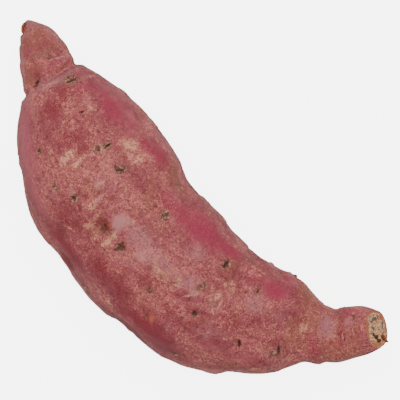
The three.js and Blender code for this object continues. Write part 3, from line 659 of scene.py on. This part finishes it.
skinFinish = {
    "dark": "#7C303B", "light": "#C66068",  # the ground under all the rest
    "crimson": "#902E3B", "russet": "#A05A48", "pink": "#C8656F", "magenta": "#AC3852",
    # One colour for smudges of dried soil and for painted shade low on the sides
    "film": "#BA757C", "soilAndSideShade": "#86624E", "tan": "#D8876F",
    "pore": "#561F2A", "crack": "#5E272D", "curl": "#C97A70", "gold": "#B47E58",
    # Next two: painted shade in the small dimples, and a painted highlight on the small rises
    "fleckPink": "#D87E70", "fleckTan": "#ECA886", "hollowShade": "#7A3636", "ridgeHighlight": "#D08A84",
    "halo": "#80594C", "rustRim": "#C8654A", "lip": "#D98F80",  # round the eyes
    "pale": "#E09A84", "rust": "#C96146", "brown": "#74473A", "hole": "#3A241C",
    "cork": "#AE6C4A", "corkPale": "#EFC08E", "corkRim": "#BC6450",  # the broken end
    "corkStain": "#5E5658", "corkDark": "#46271A",
    "roughness": (0.5, 0.72),
}

rootletFinish = {"bark": "#A8572C", "barkDark": "#5C2E16"}

# How each patch shows: how torn its edge is, where it starts and is full, its greatest cover
skinLayers = {
    "crimson": (1.6, 0.1, 0.95, 0.82), "russet": (1.2, 0.1, 0.9, 0.85), "pink": (0.7, 0.1, 0.9, 0.8),
    "magenta": (0.7, 0.15, 0.95, 0.95), "film": (1.2, 0.15, 0.9, 0.8), "soilAndSideShade": (1.3, 0.25, 0.9, 0.8),
    "tan": (1.9, 0.2, 1.1, 0.9), "clean": (0.8, 0.1, 0.8, 1), "halo": (0.9, 0.1, 0.6, 0.9),
    # Next two: painted shade in the small dimples, and a painted highlight on the small rises
    "hollowShade": (0.7, 0.2, 1, 0.6), "ridgeHighlight": (1.5, 0.3, 1.1, 0.6),
    "rustRim": (0.9, 0.25, 0.8, 0.9), "lip": (0.9, 0.3, 0.9, 0.8), "dark": (0.5, 0.3, 0.75, 0.95),
    "scar": (0.5, 0.3, 0.6, 1), "corkRim": (0.8, 0.3, 0.6, 0.9), "corkStain": (0.5, 0.35, 0.6, 0.9),
    "corkDark": (0.5, 0.35, 0.6, 0.95),
}


def drawSpots(material, vector, places):
    # One mask for all marks of a kind: each is an ellipse, and the greatest cover wins
    mask = None
    for location, turn, sizes, strength in places:
        local = addNode(material, "ShaderNodeMapping", {"vector_type": "TEXTURE", "Location": location,
                        "Rotation": turn, "Scale": sizes}, {"Vector": vector})
        away = addNode(material, "ShaderNodeVectorMath", {"operation": "LENGTH"}, {0: local})
        spot = addNode(material, "ShaderNodeMapRange",
                       {"From Min": 1.2, "From Max": 0.55, "To Max": strength},
                       {"Value": away.outputs["Value"]})
        if mask:
            spot = addNode(material, "ShaderNodeMath", {"operation": "MAXIMUM"}, {0: mask, 1: spot})
        mask = spot
    return mask


def makeTextures(m, straight):
    stretched = addNode(m, "ShaderNodeMapping", {"Scale": (0.45, 1, 1)}, {"Vector": straight})
    ringed = addNode(m, "ShaderNodeMapping", {"Scale": (2.2, 1, 1)}, {"Vector": straight})
    textures = {  # size in mm, detail, roughness, distortion, what it follows
        "edges": (2.6, 5, 0.75, 0.5, straight), "broad": (8, 4, 0.6, 0.3, stretched),
        "mottle": (1.9, 4, 0.7, 0.8, straight), "curls": (3.4, 3, 0.6, 1.6, straight),
        "grit": (0.9, 2, 0.6, 0.6, straight), "flecks": (1.05, 3, 0.65, 1.2, straight),
        "pores": (0.9, 2, 0.6, 0.5, straight), "cracks": (1.7, 3, 0.6, 1.6, ringed),
        "wobble": (1.6, 2, 0.6, 0, straight)}
    made = {}
    for name, (size, detail, rough, distortion, vector) in textures.items():
        settings = {"Scale": 1 / size, "Detail": detail, "Roughness": rough, "Distortion": distortion}
        made[name] = addNode(m, "ShaderNodeTexNoise", settings, {"Vector": vector})
    return made


def coverPatches(m, t):
    # Patches that were laid on the points, their edges torn by a texture
    edges = addNode(m, "ShaderNodeMath", {"operation": "SUBTRACT", 1: 0.5}, {0: t["edges"]})
    cover = {}
    for name, (torn, low, high, top) in skinLayers.items():
        laid = addNode(m, "ShaderNodeAttribute", {"attribute_name": name}).outputs["Fac"]
        torn = addNode(m, "ShaderNodeMath", {"operation": "MULTIPLY_ADD", 1: torn}, {0: edges, 2: laid})
        settings = {"interpolation_type": "SMOOTHSTEP", "From Min": low, "From Max": high, "To Max": top}
        cover[name] = addNode(m, "ShaderNodeMapRange", settings, {"Value": torn})
    return cover


def coverSpots(m, t, cover, straight):
    # Crisp marks, their edges bent by a small wobble and eaten by crumbs
    shift = addNode(m, "ShaderNodeVectorMath", {"operation": "SUBTRACT", 1: (0.5, 0.5, 0.5)},
                    {0: t["wobble"].outputs["Color"]})
    bent = addNode(m, "ShaderNodeVectorMath", {"operation": "MULTIPLY_ADD", 1: (1.3, 1.3, 1.3)},
                   {0: shift, 2: straight})
    deep = 14  # mm that a mark reaches through the skin
    crumbs = addNode(m, "ShaderNodeMapRange", {"From Min": 0.42, "From Max": 0.54, "To Min": 0.1},
                     {"Value": t["grit"]})
    cover["dark"] = addNode(m, "ShaderNodeMath", {"operation": "MULTIPLY"}, {0: cover["dark"], 1: crumbs})
    for name, low, high in (("speckPale", 0.53, 0.6), ("speckDark", 0.48, 0.4)):
        speck = addNode(m, "ShaderNodeMapRange", {"From Min": low, "From Max": high},
                        {"Value": t["grit"]})
        cover[name] = addNode(m, "ShaderNodeMath", {"operation": "MULTIPLY"},
                              {0: speck, 1: cover["halo"]})
    for name, kind in spots.items():
        places = [(*surfaceAt(a, degrees, turn), (long / 2, wide / 2, deep), strength)
                  for a, degrees, long, wide, turn, strength in kind]
        mask = drawSpots(m, bent, places)
        cover[name] = addNode(m, "ShaderNodeMath", {"operation": "MULTIPLY"}, {0: mask, 1: crumbs})


def coverScurf(m, t, cover):
    # Flecks and curled flakes: denser on the tan patches, scarce on clean skin
    scurf = addNode(m, "ShaderNodeMapRange", {"From Min": 0.3, "From Max": 0.7}, {"Value": t["broad"]})
    for name, share in (("tan", 0.6), ("clean", -0.9), ("crimson", -0.3)):
        scurf = addNode(m, "ShaderNodeMath", {"operation": "MULTIPLY_ADD", 1: share},
                        {0: cover[name], 2: scurf})
    dense = addNode(m, "ShaderNodeMath", {"operation": "MULTIPLY_ADD", 1: 0.17},
                    {0: scurf, 2: t["flecks"]})
    cover["fleckPink"] = addNode(m, "ShaderNodeMapRange",
                                 {"From Min": 0.62, "From Max": 0.71, "To Max": 0.95}, {"Value": dense})
    cover["fleckTan"] = addNode(m, "ShaderNodeMath", {"operation": "MULTIPLY"},
                                {0: cover["fleckPink"], 1: cover["tan"]})
    scurfy = addNode(m, "ShaderNodeMapRange",
                     {"From Min": -0.3, "From Max": 1.1, "To Min": 0.1, "To Max": 0.85},
                     {"Value": scurf})

    # A wave folded back and forth on a texture gives thin curls with grooves between them
    curls = addNode(m, "ShaderNodeMath", {"operation": "MULTIPLY", 1: 8}, {0: t["curls"]})
    curls = addNode(m, "ShaderNodeMath", {"operation": "PINGPONG", 1: 0.5}, {0: curls})
    curl = addNode(m, "ShaderNodeMapRange", {"From Min": 0.27, "From Max": 0.45}, {"Value": curls})
    groove = addNode(m, "ShaderNodeMapRange", {"From Min": 0.2, "From Max": 0.03, "To Max": 0.55},
                     {"Value": curls})
    pore = addNode(m, "ShaderNodeMapRange", {"From Min": 0.55, "From Max": 0.65}, {"Value": t["pores"]})
    for name, mark in (("curl", curl), ("groove", groove), ("pore", pore)):
        cover[name] = addNode(m, "ShaderNodeMath", {"operation": "MULTIPLY"}, {0: mark, 1: scurfy})
    golden = addNode(m, "ShaderNodeMapRange", {"From Min": 0.48, "From Max": 0.6, "To Max": 0.9},
                     {"Value": t["edges"]})
    cover["gold"] = addNode(m, "ShaderNodeMath", {"operation": "MULTIPLY"}, {0: cover["curl"], 1: golden})
    crack = addNode(m, "ShaderNodeMath", {"operation": "SUBTRACT", 1: 0.5}, {0: t["cracks"]})
    crack = addNode(m, "ShaderNodeMath", {"operation": "ABSOLUTE"}, {0: crack})
    cover["crack"] = addNode(m, "ShaderNodeMapRange", {"From Min": 0.04, "From Max": 0, "To Max": 0.6},
                             {"Value": crack})
    cover["tanTint"] = addNode(m, "ShaderNodeMath", {"operation": "MULTIPLY", 1: 0.4}, {0: cover["tan"]})
    mixed = addNode(m, "ShaderNodeMath", {"operation": "MULTIPLY_ADD", 1: 0.7},
                    {0: t["broad"], 2: t["mottle"]})
    cover["light"] = addNode(m, "ShaderNodeMapRange", {"From Min": 0.62, "From Max": 1.05},
                             {"Value": mixed})


def mixSkin(m, cover):
    # From the ground up; the second name is the colour, where it differs
    order = [("light",), ("crimson",), ("russet",), ("pink",), ("magenta",), ("film",), ("soilAndSideShade",),
             ("tanTint", "tan"), ("pore",), ("groove", "pore"), ("crack",), ("curl",), ("gold",),
             # Painted shade in the dimples and a painted highlight on the rises go over the flecks
             ("fleckPink",), ("fleckTan",), ("hollowShade",), ("ridgeHighlight",), ("halo",), ("speckPale", "pale"),
             ("speckDark", "hole"), ("rustRim",), ("lip",), ("dark", "hole"), ("brown",), ("rust",),
             ("pale",), ("hole",)]
    colour = None
    for names in order:
        settings = {"data_type": "RGBA", 7: hexToLinear(skinFinish[names[-1]])}
        links = {0: cover[names[0]]}
        if colour:
            links[6] = colour
        else:
            settings[6] = hexToLinear(skinFinish["dark"])
        colour = addNode(m, "ShaderNodeMix", settings, links).outputs[2]
    return colour


def mixCork(m, t, cover):
    # The broken end: pale crumbs, dark gaps, then the stains and the rim
    pale = addNode(m, "ShaderNodeMapRange", {"From Min": 0.42, "From Max": 0.56}, {"Value": t["flecks"]})
    colours = {6: hexToLinear(skinFinish["cork"]), 7: hexToLinear(skinFinish["corkPale"])}
    colour = addNode(m, "ShaderNodeMix", {"data_type": "RGBA", **colours}, {0: pale}).outputs[2]
    gaps = addNode(m, "ShaderNodeMapRange", {"From Min": 0.43, "From Max": 0.36, "To Max": 0.8},
                   {"Value": t["grit"]})
    covers = [("corkDark", gaps)] + [(name, cover[name]) for name in scarMarks]
    for name, mask in covers:
        colour = addNode(m, "ShaderNodeMix", {"data_type": "RGBA", 7: hexToLinear(skinFinish[name])},
                         {0: mask, 6: colour}).outputs[2]
    return colour


def makeSkinMaterial():
    # Periderm of a washed sweet potato: a thin cork skin, dry and matte with a faint waxy gloss on
    # its tops. Beige scurf, a mauve bloom and thin cracks break up the crimson under it.
    m = newMaterial("sweetPotatoPeriderm")
    straight = addNode(m, "ShaderNodeAttribute", {"attribute_name": "straightPlace"}).outputs["Vector"]
    t = makeTextures(m, straight)
    cover = coverPatches(m, t)
    coverSpots(m, t, cover, straight)
    coverScurf(m, t, cover)
    colour = addNode(m, "ShaderNodeMix", {"data_type": "RGBA"},
                     {0: cover["scar"], 6: mixSkin(m, cover), 7: mixCork(m, t, cover)})

    # Flecks stand proud, cracks and pits are sunk
    height = addNode(m, "ShaderNodeMath", {"operation": "MULTIPLY_ADD", 1: 0.9},
                     {0: t["mottle"], 2: t["flecks"]})
    height = addNode(m, "ShaderNodeMath", {"operation": "MULTIPLY_ADD", 1: -0.4},
                     {0: cover["crack"], 2: height})
    bump = addNode(m, "ShaderNodeBump", {"Strength": 0.6, "Distance": 0.3 * mm}, {"Height": height})
    low, high = skinFinish["roughness"]
    rough = addNode(m, "ShaderNodeMapRange",
                    {"From Min": 0.3, "From Max": 0.7, "To Min": low, "To Max": high},
                    {"Value": t["mottle"]})
    shader = addNode(m, "ShaderNodeBsdfPrincipled", {"IOR": 1.45, "Specular IOR Level": 0.25},
                     {"Base Color": colour.outputs[2], "Roughness": rough, "Normal": bump})
    addNode(m, "ShaderNodeOutputMaterial", {}, {"Surface": shader})
    return m


def makeRootletMaterial():
    # Dried rootlet, brown bark mottled with darker brown: rough and without gloss
    m = newMaterial("driedRootletBark")
    place = addNode(m, "ShaderNodeTexCoord").outputs["Object"]
    grain = addNode(m, "ShaderNodeTexNoise", {"Scale": 1 / (0.9 * mm), "Detail": 3.0}, {"Vector": place})
    share = addNode(m, "ShaderNodeMapRange", {"From Min": 0.38, "From Max": 0.62},
                    {"Value": grain.outputs["Fac"]})
    dark, light = hexToLinear(rootletFinish["barkDark"]), hexToLinear(rootletFinish["bark"])
    colour = addNode(m, "ShaderNodeMix", {"data_type": "RGBA", 6: dark, 7: light}, {0: share})
    bump = addNode(m, "ShaderNodeBump", {"Strength": 0.5, "Distance": 0.2 * mm}, {"Height": grain})
    shader = addNode(m, "ShaderNodeBsdfPrincipled", {"Roughness": 0.7, "IOR": 1.45},
                     {"Base Color": colour.outputs[2], "Normal": bump.outputs["Normal"]})
    addNode(m, "ShaderNodeOutputMaterial", {}, {"Surface": shader.outputs["BSDF"]})
    return m


# The studio

studio = {
    "floorColour": "#F4F4F4", "floorSize": 18,
    "glow": 5.5,              # lifts the table to near white in the picture, without lighting the root
    "cameraHeight": 3.6, "cameraTurn": 40.05, "cameraMiddle": (2.95, 21.77), "pictureWidth": 156.4,
    "pictureLevel": 27,
    "keyPower": 173, "keySize": 3.85, "keyHeight": 4.1, "keyShift": 1.08, "skyLight": 0.36,
}


def makeFloor():
    # Matt white table, and just over it a clear sheet that glows for the camera alone
    table = newMaterial("paleMattTable")
    shader = addNode(table, "ShaderNodeBsdfPrincipled",
                     {"Base Color": hexToLinear(studio["floorColour"]), "Roughness": 0.9})
    addNode(table, "ShaderNodeOutputMaterial", {}, {"Surface": shader.outputs["BSDF"]})
    sheet = newMaterial("glowingSheet")
    clear = addNode(sheet, "ShaderNodeBsdfTransparent")
    glow = addNode(sheet, "ShaderNodeEmission", {"Strength": studio["glow"]})
    both = addNode(sheet, "ShaderNodeAddShader", {}, {0: clear.outputs[0], 1: glow.outputs[0]})
    addNode(sheet, "ShaderNodeOutputMaterial", {}, {"Surface": both.outputs[0]})
    for name, material, height in (("floor", table, -0.1), ("floorGlow", sheet, -0.05)):
        deselectAll()
        bpy.ops.mesh.primitive_plane_add(size=studio["floorSize"], location=(0, 0, height * mm))
        plane = bpy.context.object
        plane.name = name
        plane.data.materials.append(material)
    plane.visible_diffuse = False
    plane.visible_glossy = False
    plane.visible_shadow = False


def setLights():
    key = bpy.data.lights.new("softbox", "AREA")
    key.shape = "DISK"
    key.size = studio["keySize"]
    key.energy = studio["keyPower"]
    turn = math.radians(studio["cameraTurn"])
    softbox = bpy.data.objects.new("softbox", key)
    bpy.context.collection.objects.link(softbox)
    up = Vector((-math.sin(turn), math.cos(turn), 0))
    softbox.location = up * studio["keyShift"] + Vector((0, 0, studio["keyHeight"]))
    softbox.rotation_euler = (-softbox.location).to_track_quat("-Z", "Y").to_euler()
    world = bpy.data.worlds.new("paleRoom")
    world.use_nodes = True
    world.node_tree.nodes["Background"].inputs["Color"].default_value = (1, 1, 1, 1)
    world.node_tree.nodes["Background"].inputs["Strength"].default_value = studio["skyLight"]
    bpy.context.scene.world = world


def setCamera():
    camera = bpy.data.cameras.new("camera")
    camera.sensor_width = 36
    distance = studio["cameraHeight"] - studio["pictureLevel"] * mm
    camera.lens = camera.sensor_width * distance / (studio["pictureWidth"] * mm)
    holder = bpy.data.objects.new("camera", camera)
    bpy.context.collection.objects.link(holder)
    x, y = studio["cameraMiddle"]
    holder.location = (x * mm, y * mm, studio["cameraHeight"])
    holder.rotation_euler = (0, 0, math.radians(studio["cameraTurn"]))
    bpy.context.scene.camera = holder


print("root: growing it straight")
middle, track = drawMiddleLine()
root = growStraightRoot(track["length"][-1])
print("root:", len(root.data.vertices), "points, length", round(track["length"][-1], 1), "mm")
sculptRoot(root, track)
print("root: folds, eyes and patches done")
bendRoot(root, middle)
pressFlat(root)
root.data.materials.append(makeSkinMaterial())

print("rootlets")
pieces = [root]
bark = makeRootletMaterial()
for name in rootlets:
    rootlet = makeRootlet(name)
    rootlet.data.materials.append(bark)
    pieces.append(rootlet)

print("placing the pieces on the frame")
middleX, middleY = rootForm["boxMiddle"]
lowest = min(vertex.co.z for piece in pieces for vertex in piece.data.vertices)
shift = Vector((-middleX, -middleY, -lowest))
for piece in pieces:
    for vertex in piece.data.vertices:
        vertex.co = (vertex.co + shift) * mm
    piece.data.update()
    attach(piece, "root")
    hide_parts("sweet_potato")

print("studio")
makeFloor()
setLights()
setCamera()
